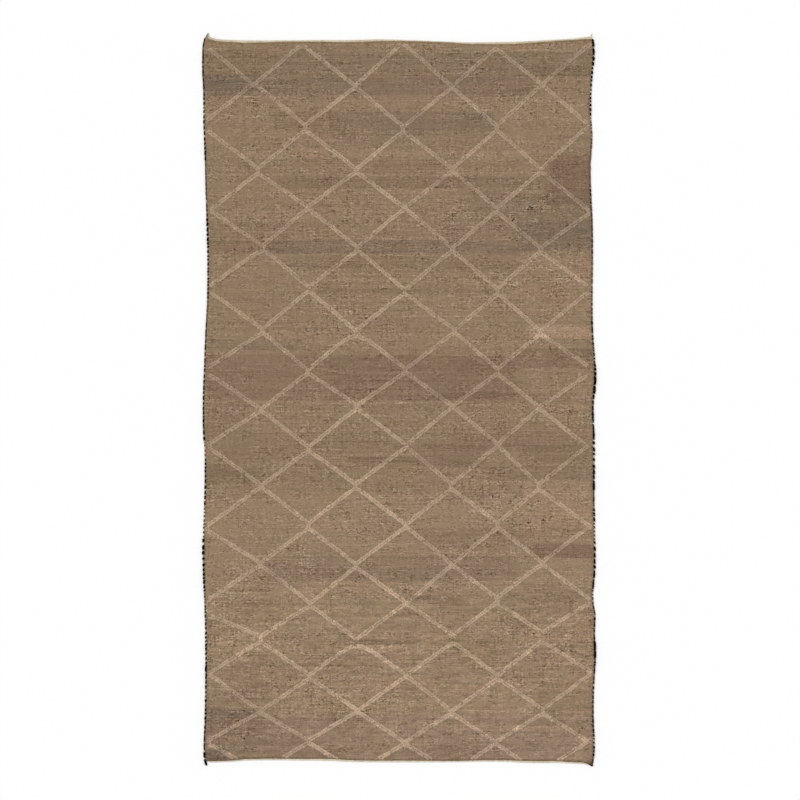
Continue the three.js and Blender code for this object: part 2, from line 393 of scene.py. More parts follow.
def wool(name, flecks, streaks, patches, relief, roughness, specks=()):
    """A woollen finish: each point's dye, with flecks and streaks that stand out by the relief in metres.

    They are stronger in some patches than in others, dark specks can be scattered among them, and the
    lighter fibres took a little less dye.
    """
    material = bpy.data.materials.new(name)
    material.use_nodes = True
    shader = material.node_tree.nodes["Principled BSDF"]
    strong = layered(material, patches)
    calm = add(material, "ShaderNodeMath", {0: 1.0, 1: strong}, operation="SUBTRACT").outputs["Value"]
    mottled = {0: layered(material, flecks + streaks, specks), 1: strong, 2: calm}
    shade = add(material, "ShaderNodeMath", mottled, operation="MULTIPLY_ADD").outputs["Value"]
    dye = add(material, "ShaderNodeAttribute", attribute_name="dye").outputs["Color"]
    paler = {0: shade, 1: -PALER, 2: 1 + PALER}
    depth = add(material, "ShaderNodeMath", paler, operation="MULTIPLY_ADD").outputs["Value"]
    colour = add(material, "ShaderNodeHueSaturation", {"Color": dye, "Value": shade, "Saturation": depth})
    bump = add(material, "ShaderNodeBump", {"Height": shade, "Strength": 1.0, "Distance": relief})
    material.node_tree.links.new(colour.outputs["Color"], shader.inputs["Base Color"])
    material.node_tree.links.new(bump.outputs["Normal"], shader.inputs["Normal"])
    shader.inputs["Roughness"].default_value = roughness
    shader.inputs["Specular IOR Level"].default_value = WOOL_SHINE
    return material


def make_piece(name, points, faces, dyes, uvs, material):
    """A smooth mesh object with a dye for each point and, where given, its corners' places on the bake."""
    mesh = bpy.data.meshes.new(name)
    mesh.from_pydata(points.tolist(), [], faces)
    mesh.shade_smooth()
    attribute = mesh.color_attributes.new("dye", "FLOAT_COLOR", "POINT")
    opaque = np.concatenate([dyes, np.ones((len(dyes), 1))], axis=1)
    attribute.data.foreach_set("color", opaque.astype(np.float32).ravel())
    if uvs is not None:
        mesh.uv_layers.new(name="OFBake").data.foreach_set("uv", uvs.astype(np.float32).ravel())
    mesh.materials.append(material)
    piece = bpy.data.objects.new(name, mesh)
    bpy.context.scene.collection.objects.link(piece)
    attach(piece, "root")
    return piece


# The top of the cloth is a grid, its edge turns down over a narrow rim to the floor, and underneath each row
# of weft runs straight from edge to edge, apart from the last rows, which follow the curve of the end.
across, along = np.meshgrid(np.linspace(0, 1, COLUMNS + 1), np.linspace(0, 1, ROWS + 1))
top_x, top_y = on_cloth(across, along, RIM)
number = np.arange(across.size).reshape(across.shape)
edge_walk = np.concatenate([number[0, :-1], number[:-1, -1], number[-1, :0:-1], number[:0:-1, 0]])
edge_x, edge_y = on_cloth(across.ravel()[edge_walk], along.ravel()[edge_walk], 0)
top_points = np.stack([top_x.ravel(), top_y.ravel(), surface(top_x, top_y).ravel()], axis=1)
rim_points = np.stack([edge_x, edge_y, np.full(len(edge_walk), cloth_top - RIM)], axis=1)
foot_points = rim_points * (1, 1, 0)
field_points = np.concatenate([top_points, rim_points, foot_points])

rim = across.size + np.arange(len(edge_walk))
foot = rim + len(edge_walk)
cell_corners = [number[:-1, :-1], number[:-1, 1:], number[1:, 1:], number[1:, :-1]]
cells = np.stack(cell_corners, axis=-1).reshape(-1, 4)
rim_faces = np.stack([rim, np.roll(rim, -1), np.roll(edge_walk, -1), edge_walk], axis=1)
foot_faces = np.stack([foot, np.roll(foot, -1), np.roll(rim, -1), rim], axis=1)
foot_left = foot[-np.arange(ROWS + 1)]
foot_right = foot[COLUMNS : COLUMNS + ROWS + 1]
plain = slice(END_ROWS, ROWS + 1 - END_ROWS)
left_feet, right_feet = foot_left[plain], foot_right[plain]
under = np.stack([left_feet[:-1], left_feet[1:], right_feet[1:], right_feet[:-1]], axis=1).tolist()
near_end = [*foot_left[: END_ROWS + 1], *foot_right[END_ROWS::-1], *foot[COLUMNS - 1 : 0 : -1]]
far_corner = 2 * COLUMNS + ROWS
far_end = [
    *foot_left[-END_ROWS - 1 :],
    *foot[far_corner - 1 : COLUMNS + ROWS : -1],
    *foot_right[: -END_ROWS - 2 : -1],
]
under += [[int(corner) for corner in end] for end in (near_end, far_end)]
field_faces = [*cells.tolist(), *rim_faces.tolist(), *foot_faces.tolist(), *under]

field_dyes = dye_at(field_points[:, 0], field_points[:, 1])

# On the bake the top lies as it is, its rim opens out round it, and the underside lies beside it, a little
# narrower than it is.
BAKE_SIDE = 3.1  # how many metres of cloth the side of the bake takes
TOP_PLACE = (0.83, BAKE_SIDE / 2)  # where the middle of the top lies on it, and below, of the underside
UNDER_PLACE = (2.4, BAKE_SIDE / 2)
UNDER_SCALE = (0.8, 1)
RIM_OPENING = 1.25  # how much further out a place on the rim lies for each metre below the top, as a share
corner_list = np.concatenate([np.array(face) for face in field_faces])
spread = field_points[:, :2] * (1 + (cloth_top - field_points[:, 2:]) * RIM_OPENING)
field_uvs = (spread[corner_list] + TOP_PLACE) / BAKE_SIDE
under_corners = sum(len(face) for face in under)
under_places = field_points[corner_list[-under_corners:], :2] * UNDER_SCALE + UNDER_PLACE
field_uvs[-under_corners:] = under_places / BAKE_SIDE

# Hand-spun wool in a tight weft-faced weave: matt, and slightly hairy. The marled yarn gives short flecks
# and scattered dark specks, uneven beating gives longer streaks, and the covered warps give faint ribs. Real
# flecks and specks are about 4 mm by 1.5 mm, and are drawn coarser so that they show.
woven_wool = wool(
    "hand_spun_wool_weave",
    flecks=[(12, 6.5, 8, 0.21), (5.5, 3.4, 8, 0.2)],
    streaks=[
        (70, 4.5, 20, 0.11),
        (300, 4, 20, 0.105),
        (900, 5, 20, 0.065),
        (4.6, 60, 20, 0.08),
        (9, 200, 20, 0.045),
    ],
    patches=[(48, 32, 50, 0.8), (300, 190, 300, 0.42)],
    relief=0.8 * MM,
    roughness=0.92,
    specks=[(7, 4.5, 8, 0.43)],
)
field = make_piece(
    "woven_field", field_points, field_faces, field_dyes, field_uvs, woven_wool
)
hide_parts("field")

# The lattice
# Lines of lighter wool, each two rows of slanted stitches wrapped round the warps as the field was woven.
# They were kept straight by eye, so the diamonds vary, and where two lines meet a bar often joins them.
STITCH_STEP = 7 * MM
STITCH_SIZE = (14 * MM, 12.5 * MM, 1.8 * MM)  # long enough to lap over half of the next
STITCH_SCALES = (0.8, 1.15)  # the least and the most that a stitch is of that size
STITCH_SLANT = math.radians(25)
STITCH_LIFT = 0.2 * MM
ROW_SPREAD = 4.4 * MM
STAGGER = 0.25  # of a step each way, so that the two rows lie half a step apart
LOOSE_ALONG = 0.8 * MM
LOOSE_ASIDE = 0.9 * MM
LOOSE_TURN = 0.15
LINE_DRIFT = (1.2 * MM, 50 * MM, 50 * MM)
WARP_STEP = 22 * MM  # the lines step over to the next group of warps this often
WARP_SHIFT = 1.6 * MM
LOOK_AHEAD = 2 * MM  # along a line, to see which way it runs
BARE_MARGIN = 6 * MM  # no stitch is centred closer than this to the edge of the cloth
MISSED = 0.02  # the share of the stitches that have gone
LINE_SHADE = "AE967D"
SHARED_SHADE = 0.8  # how far the lines follow the changes of shade in the ground
SHADE_SPREAD = 0.06
SHADE_PATCH = (0.1, 30 * MM, 30 * MM)
ODD_STITCHES = [(0.04, 0.72), (0.05, 1.18)]  # the darker and the lighter ones: how many, and what shade
# Between these two places across, the lines were worked with a lighter batch of tan.
LIGHT_STRETCH = (-390 * MM, 30 * MM)
LIGHT_FADE = 15 * MM
LIGHT_SHADE = 0.075
LOWER_SHADE = 0.026  # how much lighter the lines are for each metre down the rug
# The knots where lines meet: how far along the rug each row is, how far across each of its knots is, how
# far above that row the lines from above meet, and how far above it the lines to the next row start.
# Millimetres.
KNOTS = [
    (1466, (-793, -403, 16, 402, 800), (-12, 0, 6, -14, 8), (-12, 0, 6, -14, 8)),
    (1300, (-601, -182, 221, 593), (4, 0, -4, 6), (6, -10, -12, 0)),
    (1130, (-798, -387, 18, 407, 792), (25, 7, 0, 4, 4), (-17, -18, -23, -19, 2)),
    (951, (-584, -177, 221, 588), (6, 4, 4, 4), (-17, -12, -8, -12)),
    (787, (-781, -378, 24, 406, 792), (-2, 10, 6, 6, -6), (-8, 0, 1, -12, -19)),
    (627, (-565, -171, 222, 588), (8, 4, 0, 0), (-14, -13, -14, -17)),
    (453, (-785, -374, 24, 410, 779), (17, 12, 0, 4, 17), (-12, -8, -17, -21, -17)),
    (279, (-565, -179, 232, 588), (12, 6, 8, 4), (-6, -17, -6, -12)),
    (117, (-789, -377, 28, 409, 784), (17, 4, 8, 8, 21), (-17, -11, -10, -14, -19)),
    (-37, (-571, -175, 223, 582), (-4, 12, 8, 4), (-15, -6, 1, -6)),
    (-194, (-785, -374, 32, 410, 788), (12, -4, 4, 8, -8), (-14, -23, -8, -3, -2)),
    (-360, (-571, -179, 219, 580), (4, 8, 8, 8), (-8, -11, -15, -17)),
    (-530, (-793, -374, 30, 410, 802), (6, 15, 10, 17, -4), (-18, -8, -3, -5, 5)),
    (-688, (-574, -179, 221, 593), (8, 4, 4, 12), (-4, -12, -4, 0)),
    (-842, (-789, -366, 32, 406, 792), (12, -4, -4, 17, 12), (-60, -17, -7, -5, -6)),
    (-991, (-574, -175, 225, 593), (8, -4, 12, 25), (-17, -33, -21, -17)),
    (-1149, (-789, -370, 32, 410, 800), (12, 4, 4, 4, 17), (5, -13, -3, -14, 8)),
    (-1298, (-574, -171, 219, 597), (4, 8, 4, 12), (-4, 0, -8, -8)),
    (-1423, (-789, -374, 24, 402, 784), (8, 8, 0, 0, 4), (-8, -4, -8, -8, 0)),
    (-1546, (-580, -175, 223, 583), (3, 0, 0, -3), (0, 0, 0, 0)),
]
LONG_ROW = 5  # a row with this many knots starts half a diamond further to the left
# Most lines leave a knot at a point, but these knots are arched: row, place across, and how round.
ARCHED = {(627, -565): 0.1, (279, -179): 0.2, (-842, -789): 0.15, (-991, -175): 0.22}
POINTED = 0.04
ARM_POINTS = 80
BAR_LENGTHS = (8, 26)  # two lines that meet this far apart are joined by a bar
OPEN = {(951, 588), (453, -374)}  # apart from these two knots, which were left open
SQUARE_MARGIN = 0.06  # how much each copy leaves free on each side of its own square on the bake


def shape_of_active():
    """The active object's points, triangles and map places as arrays. The object itself is removed."""
    template = bpy.context.object
    bpy.ops.object.mode_set(mode="EDIT")
    bpy.ops.mesh.select_all(action="SELECT")
    bpy.ops.mesh.quads_convert_to_tris()
    bpy.ops.object.mode_set(mode="OBJECT")
    mesh = template.data
    points = np.array([vertex.co for vertex in mesh.vertices])
    triangles = np.array([face.vertices for face in mesh.polygons])
    places = np.array([corner.uv for corner in mesh.uv_layers[0].data]).reshape(-1, 3, 2)
    bpy.data.objects.remove(template)
    return points, triangles, places


def copies(shape, sizes, turns, centres):
    """One small shape many times over, each copy sized, turned about the upright and set in its place.

    Each copy has a square of its own on the bake.
    """
    points, triangles, places = shape
    count = len(centres)
    sized = points[None] * sizes[:, None]
    cos = np.cos(turns)[:, None]
    sin = np.sin(turns)[:, None]
    x = sized[..., 0] * cos - sized[..., 1] * sin
    y = sized[..., 0] * sin + sized[..., 1] * cos
    moved = np.stack([x, y, sized[..., 2]], axis=-1) + centres[:, None]
    faces = triangles[None] + len(points) * np.arange(count)[:, None, None]
    squares = math.ceil(math.sqrt(count))
    square = np.stack([np.arange(count) % squares, np.arange(count) // squares], axis=1)
    inside = SQUARE_MARGIN + (1 - 2 * SQUARE_MARGIN) * places
    uvs = (square[:, None, None] + inside[None]) / squares
    return moved.reshape(-1, 3), faces.reshape(-1, 3).tolist(), uvs.reshape(-1, 2)


def arm(start, end, rounding):
    """A line from one knot down to the next, rounded where it leaves and straight where it arrives."""
    part = np.linspace(0, 1, ARM_POINTS)
    fall = (np.hypot(part, rounding) - rounding) / (math.hypot(1, rounding) - rounding)
    return np.array(start) + (np.array(end) - start) * np.stack([part, fall], axis=1)


rising = []
falling = []
for row, (y, places_across, meets, starts) in enumerate(KNOTS):
    for knot, x in enumerate(places_across):
        if BAR_LENGTHS[0] <= meets[knot] - starts[knot] <= BAR_LENGTHS[1] and (y, x) not in OPEN:
            rising.append(arm((x, y + meets[knot]), (x, y + starts[knot]), POINTED))
        if row + 1 == len(KNOTS):
            continue
        next_y, next_places, next_meets, _ = KNOTS[row + 1]
        first_column = knot - (len(places_across) == LONG_ROW)
        for below, lines in ((first_column, rising), (first_column + 1, falling)):
            if 0 <= below < len(next_places):
                end = (next_places[below], next_y + next_meets[below])
                lines.append(arm((x, y + starts[knot]), end, ARCHED.get((y, x), POINTED)))

bpy.ops.object.select_all(action="DESELECT")
bpy.ops.mesh.primitive_uv_sphere_add(segments=6, ring_count=3, radius=0.5)
stitch_shape = shape_of_active()

# Tan wool in slanted wrapping stitches: matt, a little paler and rounder than the ground, so that each
# stitch shows.
lattice_wool = wool(
    "tan_wool_wrapping",
    flecks=[(4, 2.5, 4, 0.25)],
    streaks=[(1.6, 1.6, 1.6, 0.12)],
    patches=[(40, 40, 40, 0.3)],
    relief=0.4 * MM,
    roughness=0.9,
)


def stitch_lines(name, lines, slant, seed):
    """The stitches of all the lines that lean one way, as one piece."""
    chance = np.random.default_rng(seed)
    centres = []
    turns = []
    for charted in lines:
        line = charted * MM
        runs = np.hypot(*np.diff(line, axis=0).T)
        reached = np.concatenate([[0], runs.cumsum()])
        count = max(2, round(reached[-1] / STITCH_STEP))
        for side in (-1, 1):
            walked = (np.arange(count) + 0.5 + STAGGER * side) / count * reached[-1]
            walked += chance.normal(0, LOOSE_ALONG, count)
            x, y = (np.interp(walked, reached, places) for places in line.T)
            next_x, next_y = (np.interp(walked + LOOK_AHEAD, reached, places) for places in line.T)
            ahead = np.arctan2(next_y - y, next_x - x)
            shift = WARP_SHIFT * ((walked / WARP_STEP) % 1 - 0.5)
            off = side * ROW_SPREAD + shift + uneven(x, y, LINE_DRIFT, seed)
            off += chance.normal(0, LOOSE_ASIDE, count)
            centres.append(np.stack([x - off * np.sin(ahead), y + off * np.cos(ahead)], axis=1))
            turns.append(ahead + slant * side + chance.normal(0, LOOSE_TURN, count))
    centres = np.concatenate(centres)
    turns = np.concatenate(turns)
    x, y = centres.T
    inside = (y > np.interp(x, *bottom_end) + BARE_MARGIN) & (y < np.interp(x, *top_end) - BARE_MARGIN)
    inside &= (x > np.interp(y, *left_side) + BARE_MARGIN) & (x < np.interp(y, *right_side) - BARE_MARGIN)
    inside &= chance.random(len(x)) > MISSED
    x, y, turns = x[inside], y[inside], turns[inside]
    count = len(x)
    sizes = np.array(STITCH_SIZE) * chance.uniform(*STITCH_SCALES, (count, 3))
    centres = np.stack([x, y, surface(x, y) + STITCH_LIFT], axis=1)
    points, faces, uvs = copies(stitch_shape, sizes, turns, centres)
    ground = dye_at(x, y) / linear(DYES["base"])
    shade = 1 + SHADE_SPREAD * chance.standard_normal(count) + uneven(x, y, SHADE_PATCH, seed + 1)
    for share, odd_shade in ODD_STITCHES:
        shade *= np.where(chance.random(count) < share, odd_shade, 1)
    lighter = ramp(x - LIGHT_STRETCH[0], LIGHT_FADE) * ramp(LIGHT_STRETCH[1] - x, LIGHT_FADE)
    shade *= (1 + LIGHT_SHADE * lighter) * (1 - LOWER_SHADE * y)
    dyes = linear(LINE_SHADE) * (1 - SHARED_SHADE + SHARED_SHADE * ground) * shade[:, None]
    dyes = np.repeat(dyes, len(stitch_shape[0]), axis=0)
    return make_piece(name, points, faces, dyes, uvs, lattice_wool)


lattice_rising = stitch_lines("lattice_rising", rising, STITCH_SLANT, 20)
lattice_falling = stitch_lines("lattice_falling", falling, -STITCH_SLANT, 30)

# The selvedges
# Each long edge is a thin cord of warps overcast with nearly black wool. The overcasting was worked in short
# runs with gaps between them, wound fuller or thinner, and in places with a browner, a greyer or a tan yarn.
LOOP_STEP = 2.1 * MM
LOOP_RADIUS = 2.3 * MM
YARN_RADIUS = 1.1 * MM
LOOP_TILT = math.radians(18)
OVERCAST = {"black": "190F08", "brown": "35251A", "grey": "5A4A3D", "tan": "7A6755"}
# The runs down each edge: where such a stretch starts, how long a run and a gap are there, the yarn, and how
# full it is wound. Millimetres, from the top of the rug down.
LEFT_RUNS = [
    (1500, 36, 3, "brown", 0.75),
    (1440, 11, 5, "brown", 0.85),
    (1370, 30, 3, "brown", 0.85),
    (1276, 12, 7, "brown", 0.85),
    (1190, 17, 8, "black", 0.85),
    (1097, 16, 7, "black", 1.0),
    (994, 30, 3, "tan", 0.8),
    (908, 20, 4, "grey", 0.8),
    (810, 12, 6, "brown", 0.95),
    (755, 14, 5, "black", 1.1),
    (665, 10, 6, "black", 0.95),
    (560, 10, 6, "brown", 0.95),
    (413, 12, 5, "tan", 0.8),
    (335, 21, 4, "brown", 0.8),
    (164, 14, 8, "brown", 0.85),
    (80, 14, 6, "black", 0.95),
    (-2, 11, 6, "brown", 0.9),
    (-80, 20, 4, "black", 0.95),
    (-172, 8, 8, "grey", 0.75),
    (-231, 11, 7, "black", 0.9),
    (-334, 17, 5, "black", 0.95),
    (-425, 8, 7, "grey", 0.9),
    (-571, 14, 10, "black", 1.3),
    (-687, 12, 5, "black", 1.25),
    (-752, 10, 6, "black", 1.1),
    (-799, 7, 7, "grey", 0.85),
    (-845, 10, 6, "brown", 0.9),
    (-949, 10, 7, "black", 1.05),
    (-1100, 32, 6, "black", 1.05),
    (-1160, 12, 6, "brown", 0.95),
    (-1235, 12, 6, "black", 1.0),
    (-1378, 36, 4, "brown", 0.8),
    (-1450, 32, 7, "black", 1.3),
]
RIGHT_RUNS = [
    (1496, 26, 5, "black", 1.2),
    (1440, 20, 5, "black", 1.25),
    (1395, 11, 7, "black", 0.95),
    (1267, 10, 8, "black", 1.05),
    (1176, 8, 7, "grey", 0.8),
    (1035, 40, 3, "tan", 0.8),
    (940, 20, 4, "grey", 0.75),
    (877, 12, 5, "brown", 0.85),
    (819, 20, 4, "grey", 0.8),
    (745, 24, 4, "brown", 0.8),
    (585, 21, 5, "tan", 0.8),
    (450, 12, 6, "grey", 0.85),
    (330, 24, 5, "black", 0.85),
    (230, 9, 6, "black", 0.9),
    (148, 15, 6, "black", 1.35),
    (110, 42, 7, "black", 1.45),
    (39, 17, 5, "black", 0.95),
    (-25, 88, 7, "black", 1.0),
    (-118, 14, 12, "black", 1.2),
    (-255, 16, 7, "black", 1.25),
    (-330, 30, 3, "black", 1.2),
    (-366, 3, 2, "grey", 1.8),
    (-374, 60, 5, "brown", 0.85),
    (-440, 13, 6, "black", 1.0),
    (-505, 7, 8, "grey", 0.85),
    (-583, 14, 8, "black", 1.15),
    (-691, 33, 4, "black", 1.0),
    (-775, 8, 7, "brown", 0.8),
    (-857, 21, 6, "black", 0.8),
    (-1000, 40, 2, "black", 1.4),
    (-1072, 7, 5, "black", 1.0),
    (-1099, 3, 5, "grey", 1.4),
    (-1109, 25, 5, "black", 0.8),
    (-1150, 12, 6, "brown", 0.85),
    (-1322, 17, 4, "black", 0.95),
    (-1400, 9, 8, "black", 1.1),
    (-1480, 30, 2, "brown", 0.75),
]
# From the least to the most, as a share of what the tables say.
RUN_LENGTHS = (0.65, 1.35)
GAP_LENGTHS = (0.5, 1.5)
LOOP_FULLNESS = (0.92, 1.08)
YARN_SHADES = (0.7, 1.45)
RUN_ENDS = 0.72  # how full a run is wound at its ends
RUN_SWELL = 0.33  # how much fuller it is in its middle
EDGE_MARGIN = 2 * MM  # how far from each end of the edge the loops stop
LAST_RUN = 3 * MM  # no run starts closer than this to the bottom end
LOOSE_LOOP = 0.25 * MM
LOOSE_TILT = 0.12
LOOP_SWELL = (0.15, 16 * MM, 16 * MM)
LOOP_WIDTH = 1.25  # how much wider than high a loop is
TALLEST = 1.1
OUTWARD = 0.1 * MM  # how far out from the middle of the edge the loops are centred
FULL_OUTWARD = 0.4 * MM  # how much further for each share that they are fuller
# Some loops bite deeper into the cloth, and lie partly on it: how many, how wide, and how much further in.
DEEP_SHARE = 0.3
DEEP_WIDTH = 1.5
DEEP_BITE = 0.9 * MM
CORD_SIZE = (2.9 * MM, 1.3 * MM)  # half the width and half the height of the flat cord along the edge
CORD_HEIGHT = 2.2 * MM
CORD_STATIONS = 400
CORD_MARGIN = 1 * MM
CORD_SIDES = 8
CORD_WANDER = (0.3 * MM, 30 * MM, 30 * MM)
DYED_CORD = "826E5B"
BARE_CORD = "DCD2C2"
BARE_GAPS = (4.5, 9.5)  # the cord starts to show bare at the first of these, and is all bare at the second
BARE_PATCH = (0.35, 17 * MM, 17 * MM)


def span(node, places, along):
    """The low and the high side of a long thin CAD piece at each place along it."""
    ends = cad_points(node)[np.array([edge.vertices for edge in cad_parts[node].data.edges])]
    start, stop = ends[:, 0], ends[:, 1]
    low = []
    high = []
    for place in places:
        cut = (start[:, along] < place) != (stop[:, along] < place)
        part = (place - start[cut, along]) / (stop[cut, along] - start[cut, along])
        side = start[cut, 1 - along] + part * (stop[cut, 1 - along] - start[cut, 1 - along])
        low.append(side.min())
        high.append(side.max())
    return np.array(low), np.array(high)


def tube(path, half_widths, half_heights, sides):
    """A closed strand along a path, as points and faces. The half sizes can change along it and round it."""
    ahead = np.gradient(path, axis=0)
    ahead /= np.linalg.norm(ahead, axis=1, keepdims=True)
    right = np.cross(ahead, (0, 0, 1))
    right /= np.linalg.norm(right, axis=1, keepdims=True)
    up = np.cross(right, ahead)
    turn = np.arange(sides) * 2 * math.pi / sides
    full = np.ones((len(path), sides))
    out = np.cos(turn)[:, None] * np.multiply(half_widths, full)[..., None] * right[:, None]
    rise = np.sin(turn)[:, None] * np.multiply(half_heights, full)[..., None] * up[:, None]
    points = (path[:, None] + out + rise).reshape(-1, 3)
    rings = np.arange(len(path) * sides).reshape(len(path), sides)
    beside = np.roll(rings, -1, axis=1)
    walls = np.stack([rings[:-1], rings[1:], beside[1:], beside[:-1]], axis=-1).reshape(-1, 4)
    return points, [*walls.tolist(), rings[0].tolist(), rings[-1][::-1].tolist()]


# Dark wool yarn, tightly twisted: nearly black and matt, with fine flecks along each loop.
dark_yarn = wool(
    "dark_wool_overcasting",
    flecks=[(2.5, 2.5, 2.5, 0.35)],
    streaks=[(0.8, 0.8, 0.8, 0.15)],
    patches=[(20, 20, 20, 0.3)],
    relief=0.3 * MM,
    roughness=0.85,
)
# Wool warps laid together as the edge cord: matt, a dull tan where dyed with the field, and pale where bare.
edge_warps = wool(
    "edge_warp_cord",
    flecks=[(3, 6, 3, 0.3)],
    streaks=[(1, 1, 1, 0.15)],
    patches=[(20, 20, 20, 0.3)],
    relief=0.3 * MM,
    roughness=0.9,
)

bpy.ops.object.select_all(action="DESELECT")
bpy.ops.mesh.primitive_torus_add(
    major_segments=10,
    minor_segments=4,
    major_radius=LOOP_RADIUS,
    minor_radius=YARN_RADIUS,
    rotation=(math.pi / 2, 0, 0),
)
bpy.ops.object.transform_apply(location=False, rotation=True, scale=False)
loop_shape = shape_of_active()


def overcast(node, runs, inward, seed):
    """The overcasting and the edge cord of one long edge. Inward is 1 where the cloth lies towards +X."""
    chance = np.random.default_rng(seed)
    low_end, high_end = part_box(node)
    loops = []
    y = high_end.y - EDGE_MARGIN
    while y > low_end.y + LAST_RUN:
        _, run, gap, yarn, fullness = [row for row in runs if row[0] * MM >= y or row is runs[0]][-1]
        length = run * MM * chance.uniform(*RUN_LENGTHS)
        count = max(2, round(length / LOOP_STEP))
        swell = np.sin(np.pi * (np.arange(count) + 0.5) / count) ** 0.5
        for part, fill in enumerate(swell):
            loops.append((y - part * LOOP_STEP, fullness * (RUN_ENDS + RUN_SWELL * fill), yarn))
        y -= count * LOOP_STEP + gap * MM * chance.uniform(*GAP_LENGTHS)
    loops = [loop for loop in loops if loop[0] > low_end.y + EDGE_MARGIN]
    y = np.array([loop[0] for loop in loops]) + chance.normal(0, LOOSE_LOOP, len(loops))
    full = np.array([loop[1] for loop in loops]) * chance.uniform(*LOOP_FULLNESS, len(loops))
    dyes = np.array([linear(OVERCAST[loop[2]]) for loop in loops])
    dyes *= chance.uniform(*YARN_SHADES, (len(loops), 1))
    stations = np.linspace(low_end.y + CORD_MARGIN, high_end.y - CORD_MARGIN, CORD_STATIONS)
    low, high = span(node, stations, 1)
    middle = np.interp(y, stations, (low + high) / 2)
    full *= 1 + uneven(y, y, LOOP_SWELL, seed + 2)
    deep = chance.random(len(y)) < DEEP_SHARE
    width = full * np.where(deep, DEEP_WIDTH, LOOP_WIDTH)
    sizes = np.stack([width, full, np.minimum(full, TALLEST)], axis=1)
    x = middle - inward * (OUTWARD - np.where(deep, DEEP_BITE, 0)) - inward * FULL_OUTWARD * (full - 1)
    height = (LOOP_RADIUS + YARN_RADIUS) * sizes[:, 2]
    turns = LOOP_TILT * inward + chance.normal(0, LOOSE_TILT, len(y))
    points, faces, uvs = copies(loop_shape, sizes, turns, np.stack([x, y, height], axis=1))
    dyes = np.repeat(dyes, len(loop_shape[0]), axis=0)
    yarn_piece = make_piece(f"{node}_overcasting", points, faces, dyes, uvs, dark_yarn)
    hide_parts(node)

    inner = high if inward > 0 else low
    cord_x = inner - inward * CORD_SIZE[0] + uneven(stations, stations, CORD_WANDER, seed)
    path = np.stack([cord_x, stations, np.full(len(stations), CORD_HEIGHT)], axis=1)
    points, faces = tube(path, *CORD_SIZE, CORD_SIDES)
    # The cord was dyed with the field, and is bare and pale where the overcasting leaves wide gaps.
    starts, _, gaps, _, _ = zip(*runs[::-1])
    gap_there = np.interp(stations, np.array(starts) * MM, gaps)
    bare = (gap_there - BARE_GAPS[0]) / (BARE_GAPS[1] - BARE_GAPS[0])
    tone = np.clip(bare + uneven(stations, stations, BARE_PATCH, seed + 1), 0, 1)[:, None]
    dyes = linear(DYED_CORD) + (linear(BARE_CORD) - linear(DYED_CORD)) * tone
    dyes = np.repeat(dyes, CORD_SIDES, axis=0)
    cord = make_piece(f"{node}_cord", points, faces, dyes, None, edge_warps)
    return yarn_piece, cord


left_yarn, left_cord = overcast("selvedge_left", LEFT_RUNS, 1, 40)
right_yarn, right_cord = overcast("selvedge_right", RIGHT_RUNS, -1, 50)

# The end bands
# Across each short end the cream wool warps were turned back and wrapped together into a narrow slanting
# cord, wider where more of them were gathered.
WRAP_STEP = 6 * MM
WRAP_DEPTH = 0.12  # how far the cord sinks between two wraps, as a share of its half width
# Where a wrap sinks, the cord's colour is darkened as painted shade.
SUNK_PAINTED_SHADE = 1.6  # how much darker it is there, for each share that it sinks
BAND_SIDES = 12
BAND_STATIONS = 1050
BAND_MARGIN = 0.5 * MM
SHORT_SHADE = (0.12, 20 * MM, 20 * MM)
LONG_SHADE = (0.1, 110 * MM, 110 * MM)

# Unbleached wool warp: creamy and matt. The darker lines where one wrap sinks beside the next are painted
# shade.
cream_wool = wool(
    "cream_wool_warp",
    flecks=[(7, 3, 3, 0.2)],
    streaks=[(1.5, 1, 1, 0.12)],
    patches=[(60, 20, 20, 0.3)],
    relief=0.3 * MM,
    roughness=0.9,
)


def end_band(node, seed, colour, overlap):
    """The wrapped cream cord across one short end, which laps over the end of the cloth.

    The overlap is below 0 where the cloth lies towards +Y.
    """
    low_end, high_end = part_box(node)
    stations = np.linspace(low_end.x + BAND_MARGIN, high_end.x - BAND_MARGIN, BAND_STATIONS)
    low, high = span(node, stations, 0)
    low -= max(overlap, 0)
    high -= min(overlap, 0)
    height = high_end.z / 2 + abs(overlap) / 4
    path = np.stack([stations, (low + high) / 2, np.full(len(stations), height)], axis=1)
    turn = np.arange(BAND_SIDES) * 2 * math.pi / BAND_SIDES
    ridge = 1 - WRAP_DEPTH * (0.5 - 0.5 * np.cos(2 * math.pi * stations[:, None] / WRAP_STEP + turn))
    points, faces = tube(path, (high - low)[:, None] / 2 * ridge, height * ridge, BAND_SIDES)
    tone = 1 + uneven(stations, stations, SHORT_SHADE, seed) + uneven(stations, stations, LONG_SHADE, seed)
    # Each colour is darker where the cord sinks between wraps: painted shade.
    dyes = linear(colour) * tone[:, None, None] * (1 - SUNK_PAINTED_SHADE * (1 - ridge))[..., None]
    band = make_piece(f"{node}_wrapping", points, faces, dyes.reshape(-1, 3), None, cream_wool)
    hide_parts(node)
    return band


top_band = end_band("end_band_top", 60, "D3C4AB", 2 * MM)
bottom_band = end_band("end_band_bottom", 61, "DDD1BA", -0.6 * MM)

# The yarns left at the corners
# At the top left the last wool warps stand out as a small tapered tuft, at the top right one warp hangs as
# a loose two-ply twist, and at the bottom left the dark overcasting yarn ends in a short thick tail.
STRAND_RADIUS = 0.7 * MM
STRAND_TAPER = (1.25, 0.45)  # as a share of that, from root to tip
STRAND_SIDES = 6
STRAND_POINTS = 16
PLY_POINTS = 40
PLY_TAPER = 0.35
